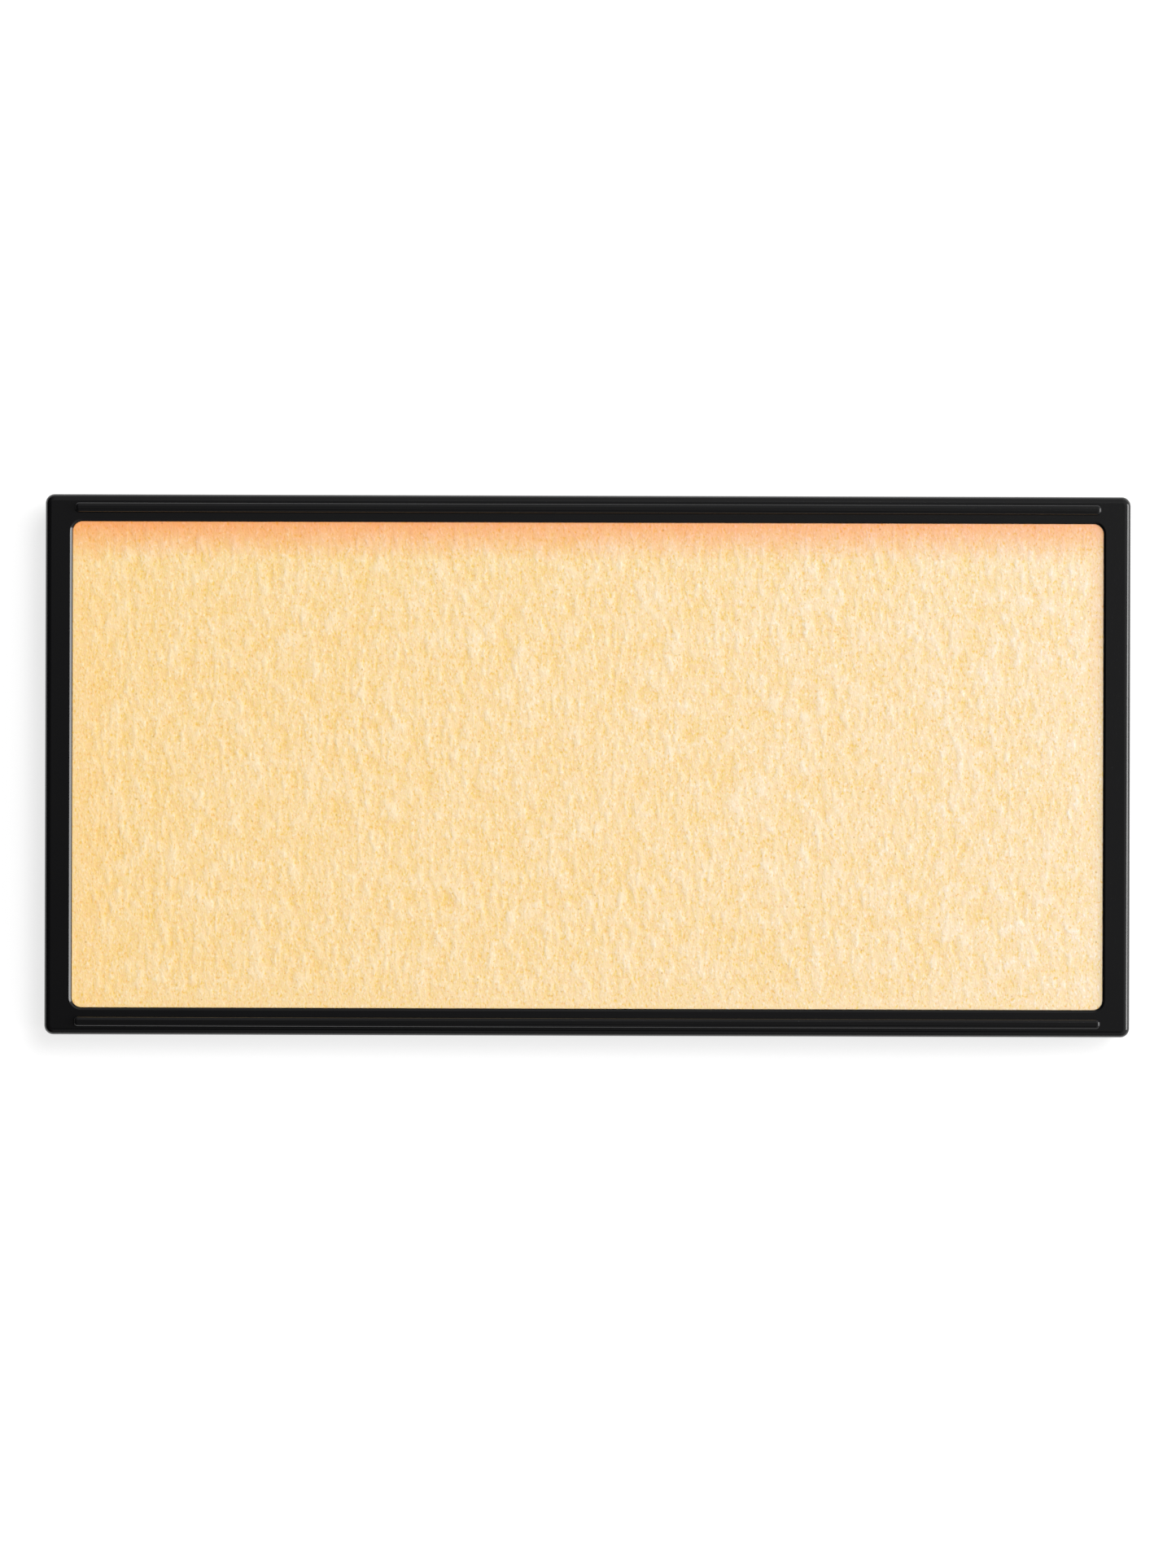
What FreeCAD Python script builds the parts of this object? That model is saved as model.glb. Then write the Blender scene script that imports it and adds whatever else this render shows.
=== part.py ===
import FreeCAD, Part
import os

# Pressed powder refill cartridge. Sizes are in millimetres.
# X runs along the long side, Y across it and Z up; the origin is the middle of the underside.

# Frame in plan
FRAME_LENGTH = 52.0
FRAME_WIDTH = 25.9
FRAME_CORNER_RADIUS = 0.43
RIM_WIDTH = 1.28
WINDOW_CORNER_RADIUS = 0.5

# Frame in section
LIP_THICKNESS = 0.7
FRAME_TOP_ROUND = 0.3
FRAME_FOOT_ROUND = 0.1
WINDOW_SLOPE_WIDTH = 0.09
WINDOW_SLOPE_DROP = 0.06

# Raised bar along the middle of each long rim
BAR_WIDTH = 0.48
BAR_HEIGHT = 0.2
BAR_END_SETBACK = 1.42
BAR_CORNER_RADIUS = 0.2
BAR_EDGE_ROUND = 0.16

# Base plate: a flange under the frame's wall and a plug inside it
FLANGE_THICKNESS = 0.8
FLANGE_REVEAL = 0.08
FLANGE_FOOT_ROUND = 0.2
PLUG_HEIGHT = 0.4
PLUG_CLEARANCE = 0.05
PLUG_LEAD_IN = 0.15
PUSH_HOLE_DIAMETER = 4.0

# Drawn pan
PAN_GAUGE = 0.35
PAN_DEPTH = 2.55
PAN_INNER_ROUND = 0.25
PAN_SIDE_CLEARANCE = 0.06
PAN_TOP_CLEARANCE = 0.05
PAN_SETBACK = 0.03

# Powder cake
CAKE_CLEARANCE = 0.02
CAKE_RECESS = 0.1
CAKE_EDGE_ROUND = 0.05

# Tape strips between base and pan
TAPE_WIDTH = 4.5
TAPE_THICKNESS = 0.1
TAPE_END_INSET = 1.6
TAPE_SIDE_INSET = 3.0
TAPE_CORNER_RADIUS = 0.5

# Steel keeper discs, glued into pockets in the top of the base
KEEPER_DIAMETER = 10.0
KEEPER_THICKNESS = 0.3
KEEPER_CLEARANCE = 0.1
KEEPER_HEADROOM = 0.12
KEEPER_EDGE_ROUND = 0.05
ADHESIVE_THICKNESS = 0.08
ADHESIVE_MARGIN = 0.5

# Blank label in a recess of the underside
LABEL_MARGIN = 5.0
LABEL_THICKNESS = 0.08
LABEL_SINK = 0.02
LABEL_CLEARANCE = 0.15
LABEL_CORNER_RADIUS = 1.0
LABEL_HOLE_MARGIN = 0.75

# Modelling values: how far a cut runs past a face, how close counts as level with a height,
# and the largest share of a corner's radius or of a wall that a round may take
CUT_OVERRUN = 1.0
LEVEL_TOLERANCE = 0.001
LARGEST_ROUND_SHARE = 0.9

# Outlines: the window, the pocket under the lip and what stands in them are offsets of one another
window_length = FRAME_LENGTH - 2 * RIM_WIDTH
window_width = FRAME_WIDTH - 2 * RIM_WIDTH
lip_overhang = PAN_SIDE_CLEARANCE + PAN_GAUGE + PAN_SETBACK

# Heights, from the floor up
plug_top = FLANGE_THICKNESS + PLUG_HEIGHT
pan_bottom = plug_top + TAPE_THICKNESS
pan_floor = pan_bottom + PAN_GAUGE
pan_top = pan_bottom + PAN_DEPTH
lip_underside = pan_top + PAN_TOP_CLEARANCE
rim_face = lip_underside + LIP_THICKNESS
bar_top = rim_face + BAR_HEIGHT
cake_top = rim_face - CAKE_RECESS
keeper_pocket_floor = plug_top - KEEPER_HEADROOM - KEEPER_THICKNESS - ADHESIVE_THICKNESS
label_recess = LABEL_SINK + LABEL_THICKNESS

# Places along the base: tape near each end, a keeper midway between the tape and the push-out hole
plug_length = window_length + 2 * (lip_overhang - PLUG_CLEARANCE)
plug_width = window_width + 2 * (lip_overhang - PLUG_CLEARANCE)
tape_x = plug_length / 2 - TAPE_END_INSET - TAPE_WIDTH / 2
keeper_x = (PUSH_HOLE_DIAMETER / 2 + tape_x - TAPE_WIDTH / 2) / 2

SIDES = {"left": -1, "right": 1}


def rounded_slab(length, width, corner_radius, z_low, z_high):
    """Upright slab centred on the Z axis, with round upright corners."""
    corner = FreeCAD.Vector(-length / 2, -width / 2, z_low)
    slab = Part.makeBox(length, width, z_high - z_low, corner)
    uprights = [edge for edge in slab.Edges if edge.BoundBox.ZLength > LEVEL_TOLERANCE]
    return slab.makeFillet(corner_radius, uprights)


def window_slab(offset, z_low, z_high):
    """Slab of the window's outline, grown outwards by offset on every side."""
    length = window_length + 2 * offset
    width = window_width + 2 * offset
    return rounded_slab(length, width, WINDOW_CORNER_RADIUS + offset, z_low, z_high)


def round_level_edges(solid, z, radius, room):
    """Round the edges at height z, as far as the room there allows."""
    level = []
    for edge in solid.Edges:
        box = edge.BoundBox
        if max(abs(box.ZMin - z), abs(box.ZMax - z)) < LEVEL_TOLERANCE:
            level.append(edge)
    return solid.makeFillet(min(radius, LARGEST_ROUND_SHARE * room), level)


def window_slope():
    """Cutter whose sides lean out from the window's wall to the rim face."""
    outlines = []
    for offset, z in ((0.0, rim_face - WINDOW_SLOPE_DROP), (WINDOW_SLOPE_WIDTH, rim_face)):
        slab = window_slab(offset, z, z + CUT_OVERRUN)
        outlines.append(min(slab.Faces, key=lambda face: face.CenterOfMass.z).OuterWire)
    return Part.makeLoft(outlines, True, True)


def disc(diameter, z_low, z_high, x=0.0):
    """Flat round disc on an upright axis."""
    return Part.makeCylinder(diameter / 2, z_high - z_low, FreeCAD.Vector(x, 0, z_low))


def make_rim_bar(side):
    """Bar along one long rim, rooted below the rim face and round along its top edges."""
    length = FRAME_LENGTH - 2 * BAR_END_SETBACK
    corner_radius = min(BAR_CORNER_RADIUS, LARGEST_ROUND_SHARE * BAR_WIDTH / 2)
    root = rim_face - FRAME_TOP_ROUND
    bar = rounded_slab(length, BAR_WIDTH, corner_radius, root, bar_top)
    bar = round_level_edges(bar, bar_top, BAR_EDGE_ROUND, corner_radius)
    line = FRAME_WIDTH / 2 - RIM_WIDTH / 2
    return bar.translated(FreeCAD.Vector(0, side * line, 0))


def make_cartridge_frame():
    """Frame: outer wall, window with a lip over the pan's rim, and a bar on each long rim."""
    frame = rounded_slab(FRAME_LENGTH, FRAME_WIDTH, FRAME_CORNER_RADIUS, FLANGE_THICKNESS, rim_face)
    frame = round_level_edges(frame, rim_face, FRAME_TOP_ROUND, FRAME_CORNER_RADIUS)
    frame = round_level_edges(frame, FLANGE_THICKNESS, FRAME_FOOT_ROUND, FRAME_CORNER_RADIUS)
    frame = frame.cut(window_slab(0.0, FLANGE_THICKNESS - CUT_OVERRUN, rim_face + CUT_OVERRUN))
    frame = frame.cut(window_slab(lip_overhang, FLANGE_THICKNESS - CUT_OVERRUN, lip_underside))
    frame = frame.cut(window_slope())
    bars = [make_rim_bar(side) for side in SIDES.values()]
    return frame.fuse(bars).removeSplitter()


def make_base_plate():
    """Base: flange and plug, with the push-out hole, the keepers' pockets and the label's recess."""
    corner_radius = FRAME_CORNER_RADIUS - FLANGE_REVEAL
    length = FRAME_LENGTH - 2 * FLANGE_REVEAL
    width = FRAME_WIDTH - 2 * FLANGE_REVEAL
    flange = rounded_slab(length, width, corner_radius, 0.0, FLANGE_THICKNESS)
    flange = round_level_edges(flange, 0.0, FLANGE_FOOT_ROUND, corner_radius)
    plug = window_slab(lip_overhang - PLUG_CLEARANCE, FLANGE_THICKNESS, plug_top)
    plug = round_level_edges(plug, plug_top, PLUG_LEAD_IN, PLUG_HEIGHT)
    base = flange.fuse(plug).removeSplitter()
    cuts = [label_outline(LABEL_CLEARANCE, -CUT_OVERRUN, label_recess)]
    cuts.append(disc(PUSH_HOLE_DIAMETER, -CUT_OVERRUN, plug_top + CUT_OVERRUN))
    pocket_diameter = KEEPER_DIAMETER + 2 * KEEPER_CLEARANCE
    for side in SIDES.values():
        cuts.append(disc(pocket_diameter, keeper_pocket_floor, plug_top + CUT_OVERRUN, side * keeper_x))
    return base.cut(cuts)


def make_powder_pan():
    """Pan drawn from sheet, its wall set back just behind the window's edge."""
    inner_radius = WINDOW_CORNER_RADIUS + PAN_SETBACK
    outer_round = PAN_INNER_ROUND + PAN_GAUGE
    pan = window_slab(PAN_SETBACK + PAN_GAUGE, pan_bottom, pan_top)
    pan = round_level_edges(pan, pan_bottom, outer_round, inner_radius + PAN_GAUGE)
    hollow = window_slab(PAN_SETBACK, pan_floor, pan_top + CUT_OVERRUN)
    hollow = round_level_edges(hollow, pan_floor, PAN_INNER_ROUND, inner_radius)
    return pan.cut(hollow)


def make_powder_cake():
    """Powder from the pan's floor up through the window, a little below the rim."""
    corner_radius = WINDOW_CORNER_RADIUS - CAKE_CLEARANCE
    cake = window_slab(-CAKE_CLEARANCE, pan_floor, cake_top)
    cake = round_level_edges(cake, pan_floor, PAN_INNER_ROUND, corner_radius)
    return round_level_edges(cake, cake_top, CAKE_EDGE_ROUND, corner_radius)


def make_pan_tape(side):
    """Strip of double-sided tape across one end of the base."""
    length = plug_width - 2 * TAPE_SIDE_INSET
    strip = rounded_slab(TAPE_WIDTH, length, TAPE_CORNER_RADIUS, plug_top, pan_bottom)
    return strip.translated(FreeCAD.Vector(side * tape_x, 0, 0))


def make_keeper_adhesive(side):
    """Thin pad of adhesive on the floor of one keeper's pocket."""
    diameter = KEEPER_DIAMETER - 2 * ADHESIVE_MARGIN
    return disc(diameter, keeper_pocket_floor, keeper_pocket_floor + ADHESIVE_THICKNESS, side * keeper_x)


def make_keeper_disc(side):
    """Blanked steel disc on its adhesive pad, with its edges tumbled round."""
    bottom = keeper_pocket_floor + ADHESIVE_THICKNESS
    keeper = disc(KEEPER_DIAMETER, bottom, bottom + KEEPER_THICKNESS, side * keeper_x)
    rims = [edge for edge in keeper.Edges if edge.BoundBox.ZLength < LEVEL_TOLERANCE]
    return keeper.makeFillet(KEEPER_EDGE_ROUND, rims)


def label_outline(offset, z_low, z_high):
    """Slab of the label's outline, grown outwards by offset on every side."""
    length = FRAME_LENGTH - 2 * (FLANGE_REVEAL + LABEL_MARGIN - offset)
    width = FRAME_WIDTH - 2 * (FLANGE_REVEAL + LABEL_MARGIN - offset)
    return rounded_slab(length, width, LABEL_CORNER_RADIUS + offset, z_low, z_high)


def make_back_label():
    """Blank paper label on the ceiling of its recess, punched clear of the push-out hole."""
    hole = disc(PUSH_HOLE_DIAMETER + 2 * LABEL_HOLE_MARGIN, -CUT_OVERRUN, label_recess + CUT_OVERRUN)
    return label_outline(0.0, LABEL_SINK, label_recess).cut(hole)


def make_parts():
    """Every piece of the cartridge, by name."""
    parts = {
        "cartridge_frame": make_cartridge_frame(),
        "base_plate": make_base_plate(),
        "powder_pan": make_powder_pan(),
        "powder_cake": make_powder_cake(),
        "back_label": make_back_label(),
    }
    for name, side in SIDES.items():
        parts["pan_tape_" + name] = make_pan_tape(side)
        parts["keeper_adhesive_" + name] = make_keeper_adhesive(side)
        parts["keeper_disc_" + name] = make_keeper_disc(side)
    return parts


os.makedirs("parts", exist_ok=True)
for part_name, solid in make_parts().items():
    solid.exportStep(f"parts/{part_name}.step")
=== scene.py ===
import math

import bpy
import numpy as np
from bpy.props import FloatProperty, FloatVectorProperty, IntProperty, PointerProperty
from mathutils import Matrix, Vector


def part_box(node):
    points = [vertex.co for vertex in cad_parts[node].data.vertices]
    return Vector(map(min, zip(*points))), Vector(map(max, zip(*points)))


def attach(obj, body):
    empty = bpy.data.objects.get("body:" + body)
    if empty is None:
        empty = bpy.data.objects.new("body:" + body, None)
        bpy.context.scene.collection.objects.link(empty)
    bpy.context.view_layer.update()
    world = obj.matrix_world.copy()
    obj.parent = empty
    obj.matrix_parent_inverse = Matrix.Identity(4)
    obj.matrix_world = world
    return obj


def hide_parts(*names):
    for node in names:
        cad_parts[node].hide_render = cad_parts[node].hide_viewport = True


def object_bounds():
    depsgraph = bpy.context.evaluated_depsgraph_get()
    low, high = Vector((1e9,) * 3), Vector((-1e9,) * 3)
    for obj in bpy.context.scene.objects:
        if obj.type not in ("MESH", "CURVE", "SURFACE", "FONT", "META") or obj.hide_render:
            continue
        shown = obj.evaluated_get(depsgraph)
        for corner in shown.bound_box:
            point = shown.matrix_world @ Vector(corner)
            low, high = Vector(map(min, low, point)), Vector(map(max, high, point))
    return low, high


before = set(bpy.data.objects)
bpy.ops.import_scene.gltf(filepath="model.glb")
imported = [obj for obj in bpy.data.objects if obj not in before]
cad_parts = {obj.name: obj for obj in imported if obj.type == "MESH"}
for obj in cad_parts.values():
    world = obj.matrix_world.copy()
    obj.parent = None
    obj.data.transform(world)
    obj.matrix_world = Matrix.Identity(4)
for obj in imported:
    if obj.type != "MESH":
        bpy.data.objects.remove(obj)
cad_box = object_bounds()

bl_info = {
    "name": "Pressed Powder Cartridge",
    "version": (1, 0, 0),
    "blender": (4, 5, 0),
    "location": "3D View > Sidebar > Cartridge",
    "description": "Dresses a pressed powder refill cartridge and sets its studio stage",
    "category": "Object",
}

# Metres in a millimetre, to write sizes in millimetres
MM = 0.001

# Socket numbers of a colour Mix node, whose names repeat for its other data types
MIX_FACTOR = 0
MIX_A = 6
MIX_B = 7
MIX_RESULT = 2

# The photograph's frame in pixels, and where the cartridge lies in it
PHOTO_WIDTH = 1445
PHOTO_HEIGHT = 1927
PHOTO_CARTRIDGE_LENGTH = 1333.0
PHOTO_CARTRIDGE_CENTRE = (721.8, 941.1)

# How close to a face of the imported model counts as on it
ON_FACE = 0.001 * MM

# The relief's clumps beside its fibre marks: how much wider and longer they are, and the share of each
CLUMP_WIDENING = 2.4
CLUMP_LENGTHENING = 1.8
FIBRE_SHARE = 0.85
CLUMP_SHARE = 0.53
# How far the relief's crests are drawn up, and how far it goes either way, in spreads about its mean
CREST_PULL = 0.06
RELIEF_LIMIT = 3
# Share of the relief that is left in the calm margin, and where, as shares of that margin, the relief
# starts to grow to its full height and where it has risen out of the level edge
EDGE_SHARE = 0.45
EDGE_FADE_START = 0.2
EDGE_FLAT_END = 0.15
# Rings in each rounded edge of the cake
ROUND_STEPS = 6

# The powder's finish: width and length of its grains and of the clumps that make the painted shade's
# border wander, in millimetres, and the side of a cell that holds one pit or one flake
GRAIN_SIZE = (0.1, 0.165, 0.165)
CLUMP_SIZE = (0.5, 1.2, 1.0)
CELL_SIDE = 0.4 * MM
# Values of the grain's noise, each with how deep in a hollow it stands, partly own tone, partly painted
# shade:
# between the two in the middle the face is almost even, and only the extremes show, as dark and pale
# specks
GRAIN_DEPTHS = ((0.3, 1.05), (0.415, 0.55), (0.59, 0.455), (0.71, 0.0))
# How much one spread of the mesh's relief adds to that depth: painted shade in the mesh's hollows
RELIEF_DEPTH = -0.1
# Where the colours of the ends stop and those of the face start, from each end of the cake
LEFT_EDGE_BAND = (1.2 * MM, 2.6 * MM)
RIGHT_EDGE_BAND = (1.4 * MM, 4.0 * MM)
# How far the border of the painted shade along the back edge wanders, as a share of its width
SHADE_WANDER = 0.12
# Width and strength of the painted shade's trace down the right edge, under the right rim
EDGE_SHADE_WIDTH = 0.9 * MM
EDGE_SHADE = 0.4
# Depths under the top between which the painted shade thins out on the cake's sides
SHADE_DEPTHS = (0.1 * MM, 0.3 * MM)
# Cells that hold a pit or a flake, by their chance of 0 to 1, and the largest of each as shares of a cell
PIT_CHANCE = 0.6
PIT_REACH = 0.17
FLAKE_CHANCE = 0.5
FLAKE_REACH = 0.24
# How much of a flake shows on the bare powder and under the full painted shade
FLAKE_COVER = (0.65, 0.1)

# The floor lies this far under the cartridge, so that the two faces don't coincide
FLOOR_GAP = 0.02 * MM
FLOOR_RADIUS = 6.0
FLOOR_SIDES = 96
# What is seen of the floor: this share of the light on it, and this much white besides
FLOOR_SEEN = (0.35, 0.35, 0.35, 1.0)
FLOOR_GLOW = 0.75

# Softboxes: direction from the cartridge, then distance and size in metres
KEY_DIRECTION = (0.22, 0.21, 1.0)
KEY_DISTANCE = 0.8
KEY_SIZE = (0.24, 0.24)
STRIP_DIRECTION = (0.93, 0.03, 0.36)
STRIP_DISTANCE = 0.5
STRIP_SIZE = (0.3, 0.2)

# Brightness of the studio's walls and of the card overhead, and how it rises along X and Y
WALL_LEVEL = 0.25
WALL_RISE = (0.45, 0.08, 0.0)
CARD_LEVEL = 0.14
CARD_RISE = (0.75, 0.84, 0.0)
# The walls turn into the card between these heights of the line of sight
CARD_START = 0.86
CARD_FULL = 0.97


def hex_colour(code):
    """Linear RGBA of an sRGB colour written as #RRGGBB."""
    channels = [int(code[place:place + 2], 16) / 255 for place in (1, 3, 5)]
    linear = [c / 12.92 if c <= 0.04045 else ((c + 0.055) / 1.055) ** 2.4 for c in channels]
    return (*linear, 1.0)


def add_node(tree, kind, inputs=None, **settings):
    """Add a node with its own settings, and give each listed input a value or a link."""
    node = tree.nodes.new(kind)
    for name, value in settings.items():
        setattr(node, name, value)
    for name, value in (inputs or {}).items():
        if isinstance(value, bpy.types.NodeSocket):
            tree.links.new(value, node.inputs[name])
        else:
            node.inputs[name].default_value = value
    return node


def add_ramp(tree, value, stops):
    """Add a colour ramp of a value, with stops that each have a position and a colour."""
    ramp = add_node(tree, "ShaderNodeValToRGB", {0: value})
    elements = ramp.color_ramp.elements
    for element, (position, colour) in zip(elements, (stops[0], stops[-1])):
        element.position = position
        element.color = colour
    for position, colour in stops[1:-1]:
        elements.new(position).color = colour
    return ramp


def start_material(name):
    """New material, with its node tree, its surface shader and the piece's own coordinates in metres."""
    material = bpy.data.materials.new(name)
    material.use_nodes = True
    tree = material.node_tree
    place = add_node(tree, "ShaderNodeTexCoord").outputs["Object"]
    return material, tree, tree.nodes["Principled BSDF"], place


def per_size(x, y, z):
    """Mapping scale that makes one unit of a pattern this many millimetres along each axis."""
    return (1 / (x * MM), 1 / (y * MM), 1 / (z * MM))


def set_shader(shader, **values):
    """Set the shader's own sockets to values that are the same all over the surface."""
    for name, value in values.items():
        shader.inputs[name.replace("_", " ")].default_value = value


def add_bump(tree, shader, height, strength, distance):
    """Bump the shader's surface by a pattern that stands this high, at this strength."""
    bump = add_node(tree, "ShaderNodeBump", {
        "Height": height, "Strength": strength, "Distance": distance})
    tree.links.new(bump.outputs[0], shader.inputs["Normal"])


def vary_roughness(tree, shader, pattern, span, roughness):
    """Let the roughness run from one value to another while a pattern runs over its span."""
    varied = add_node(tree, "ShaderNodeMapRange", {
        "Value": pattern, "From Min": span[0], "From Max": span[1],
        "To Min": roughness[0], "To Max": roughness[1]})
    tree.links.new(varied.outputs[0], shader.inputs["Roughness"])


class PowderSettings(bpy.types.PropertyGroup):
    """Sizes and colours of the pressed powder cake."""

    pitch: FloatProperty(
        name="Mesh pitch", description="Spacing of the points on the cake's top",
        default=0.07 * MM, min=0.04 * MM, max=1.0 * MM, precision=6, unit="LENGTH")
    relief: FloatProperty(
        name="Relief", description="Height of the cloth-pressed relief, as its spread about the mean",
        default=0.006 * MM, min=0.0, max=0.1 * MM, precision=6, unit="LENGTH")
    fibre_width: FloatProperty(
        name="Fibre width", description="Width of the fibre marks across the cake",
        default=0.14 * MM, min=0.05 * MM, max=2.0 * MM, precision=6, unit="LENGTH")
    fibre_length: FloatProperty(
        name="Fibre length", description="Length of the fibre marks down the cake",
        default=0.34 * MM, min=0.05 * MM, max=5.0 * MM, precision=6, unit="LENGTH")
    fibre_lean: FloatProperty(
        name="Fibre lean", description="Turn of the fibre marks from the short side of the cake",
        default=math.radians(2.5), subtype="ANGLE")
    calm_margin: FloatProperty(
        name="Calm margin", description="Strip along the edge where the relief is pressed flatter",
        default=1.2 * MM, min=0.1 * MM, max=5.0 * MM, precision=6, unit="LENGTH")
    # Painted shade along the back edge, where the back rim shades the powder
    back_shade_width: FloatProperty(
        name="Blush width", description="Width of the peach blush along the back edge",
        default=1.85 * MM, min=0.1 * MM, max=10.0 * MM, precision=6, unit="LENGTH")
    seed: IntProperty(name="Seed", description="Start of the random relief", default=7)
    left_colour: FloatVectorProperty(
        name="Left colour", description="Powder crests towards the left end",
        default=hex_colour("#FBE6C1"), size=4, min=0.0, max=1.0, subtype="COLOR")
    right_colour: FloatVectorProperty(
        name="Right colour", description="Powder crests towards the right end",
        default=hex_colour("#F8EAD8"), size=4, min=0.0, max=1.0, subtype="COLOR")
    left_edge: FloatVectorProperty(
        name="Left edge", description="Powder crests along the left edge",
        default=hex_colour("#FCE4BB"), size=4, min=0.0, max=1.0, subtype="COLOR")
    right_edge: FloatVectorProperty(
        name="Right edge", description="Powder crests along the right edge",
        default=hex_colour("#F9ECDD"), size=4, min=0.0, max=1.0, subtype="COLOR")
    # Colours of the painted shade under the back rim, at its left and right ends
    left_back_shade: FloatVectorProperty(
        name="Left blush", description="Peach at the back edge's left end",
        default=hex_colour("#FBB482"), size=4, min=0.0, max=1.0, subtype="COLOR")
    right_back_shade: FloatVectorProperty(
        name="Right blush", description="Peach at the back edge's right end",
        default=hex_colour("#F8C1A5"), size=4, min=0.0, max=1.0, subtype="COLOR")
    # Tints of the grain's hollows: partly the powder's own tone, partly painted shade in the hollows
    hollow_tint: FloatVectorProperty(
        name="Hollow tint", description="What the deepest hollows of the grain multiply the colour by",
        default=hex_colour("#F6DF82"), size=4, min=0.0, max=1.0, subtype="COLOR")
    pink_tint: FloatVectorProperty(
        name="Pink tint", description="The same for the pinker hollows",
        default=hex_colour("#F6D28E"), size=4, min=0.0, max=1.0, subtype="COLOR")
    # Pale flakes of mica, whose paleness is partly a painted glint
    flake_and_glint_colour: FloatVectorProperty(
        name="Flakes", description="Pale mica flakes",
        default=hex_colour("#FEF6DA"), size=4, min=0.0, max=1.0, subtype="COLOR")
    # Painted shade in small pits, which the mesh doesn't have
    painted_pit_shade: FloatVectorProperty(
        name="Pit tint", description="What the pits of dropped grains multiply the colour by",
        default=hex_colour("#D4BE8E"), size=4, min=0.0, max=1.0, subtype="COLOR")


class FinishSettings(bpy.types.PropertyGroup):
    """Colours of the moulded, drawn, plated and paper pieces."""

    frame_colour: FloatVectorProperty(
        name="Frame", description="Black of the polished frame",
        default=hex_colour("#0E0E0F"), size=4, min=0.0, max=1.0, subtype="COLOR")
    base_colour: FloatVectorProperty(
        name="Base", description="Black of the satin base plate",
        default=hex_colour("#121213"), size=4, min=0.0, max=1.0, subtype="COLOR")
    pan_colour: FloatVectorProperty(
        name="Pan", description="Bare aluminium of the pan",
        default=hex_colour("#DEDFE0"), size=4, min=0.0, max=1.0, subtype="COLOR")
    keeper_colour: FloatVectorProperty(
        name="Keepers", description="Zinc plate on the keeper discs",
        default=hex_colour("#C3C6CB"), size=4, min=0.0, max=1.0, subtype="COLOR")
    tape_colour: FloatVectorProperty(
        name="Tape", description="Tissue carrier of the tape",
        default=hex_colour("#EAE6D8"), size=4, min=0.0, max=1.0, subtype="COLOR")
    tape_gap_colour: FloatVectorProperty(
        name="Tape gaps", description="Adhesive between the fibres of the tape's carrier",
        default=hex_colour("#CFC8B2"), size=4, min=0.0, max=1.0, subtype="COLOR")
    adhesive_colour: FloatVectorProperty(
        name="Adhesive", description="Acrylic adhesive under the keepers",
        default=hex_colour("#D9D0B0"), size=4, min=0.0, max=1.0, subtype="COLOR")
    bubble_colour: FloatVectorProperty(
        name="Bubbles", description="Bubbles trapped in the adhesive",
        default=hex_colour("#F0EBD8"), size=4, min=0.0, max=1.0, subtype="COLOR")
    label_colour: FloatVectorProperty(
        name="Label", description="Uncoated paper of the blank label",
        default=hex_colour("#F1EFE8"), size=4, min=0.0, max=1.0, subtype="COLOR")
    label_cloud_colour: FloatVectorProperty(
        name="Label clouds", description="Thinner, darker clouds in the label's paper",
        default=hex_colour("#E4E1D6"), size=4, min=0.0, max=1.0, subtype="COLOR")


class StageSettings(bpy.types.PropertyGroup):
    """Camera, lamps and floor."""

    lens: FloatProperty(
        name="Lens", description="Focal length in millimetres",
        default=150.0, min=20.0, max=400.0, subtype="DISTANCE_CAMERA")
    roll: FloatProperty(
        name="Roll", description="Turn of the camera about its line of sight",
        default=math.radians(0.17), subtype="ANGLE")
    key_power: FloatProperty(
        name="Key lamp", description="Power of the softbox above the back right corner",
        default=4.24, min=0.0, subtype="POWER", unit="POWER")
    strip_power: FloatProperty(
        name="Strip lamp", description="Power of the low softbox to the right",
        default=1.45, min=0.0, subtype="POWER", unit="POWER")
    floor_colour: FloatVectorProperty(
        name="Floor", description="Pale floor",
        default=hex_colour("#F2F2F2"), size=4, min=0.0, max=1.0, subtype="COLOR")


class CartridgeSettings(bpy.types.PropertyGroup):
    """Everything that the panel shows."""

    powder: PointerProperty(type=PowderSettings)
    finish: PointerProperty(type=FinishSettings)
    stage: PointerProperty(type=StageSettings)


# Powder cake: mesh

def grain_field(random, shape, pitch, width, length, lean):
    """Seeded relief of mean 0 and spread 1, whose marks are about width across and length along Y."""
    rows, columns = shape
    down = np.fft.fftfreq(rows, pitch)[:, None]
    across = np.fft.fftfreq(columns, pitch)[None, :]
    turned_across = across * math.cos(lean) + down * math.sin(lean)
    turned_down = down * math.cos(lean) - across * math.sin(lean)
    # A Gaussian mark of this full width at half height has this spread
    spread = 1 / math.sqrt(8 * math.log(2))
    reach = (turned_across * width * spread) ** 2 + (turned_down * length * spread) ** 2
    marks = np.fft.fft2(random.standard_normal(shape)) * np.exp(-2 * math.pi ** 2 * reach)
    field = np.fft.ifft2(marks).real
    return (field - field.mean()) / field.std()


def smooth_rise(value, low, high):
    """0 below low, 1 above high, and a smooth step between them."""
    share = np.clip((value - low) / (high - low), 0, 1)
    return share * share * (3 - 2 * share)


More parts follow.
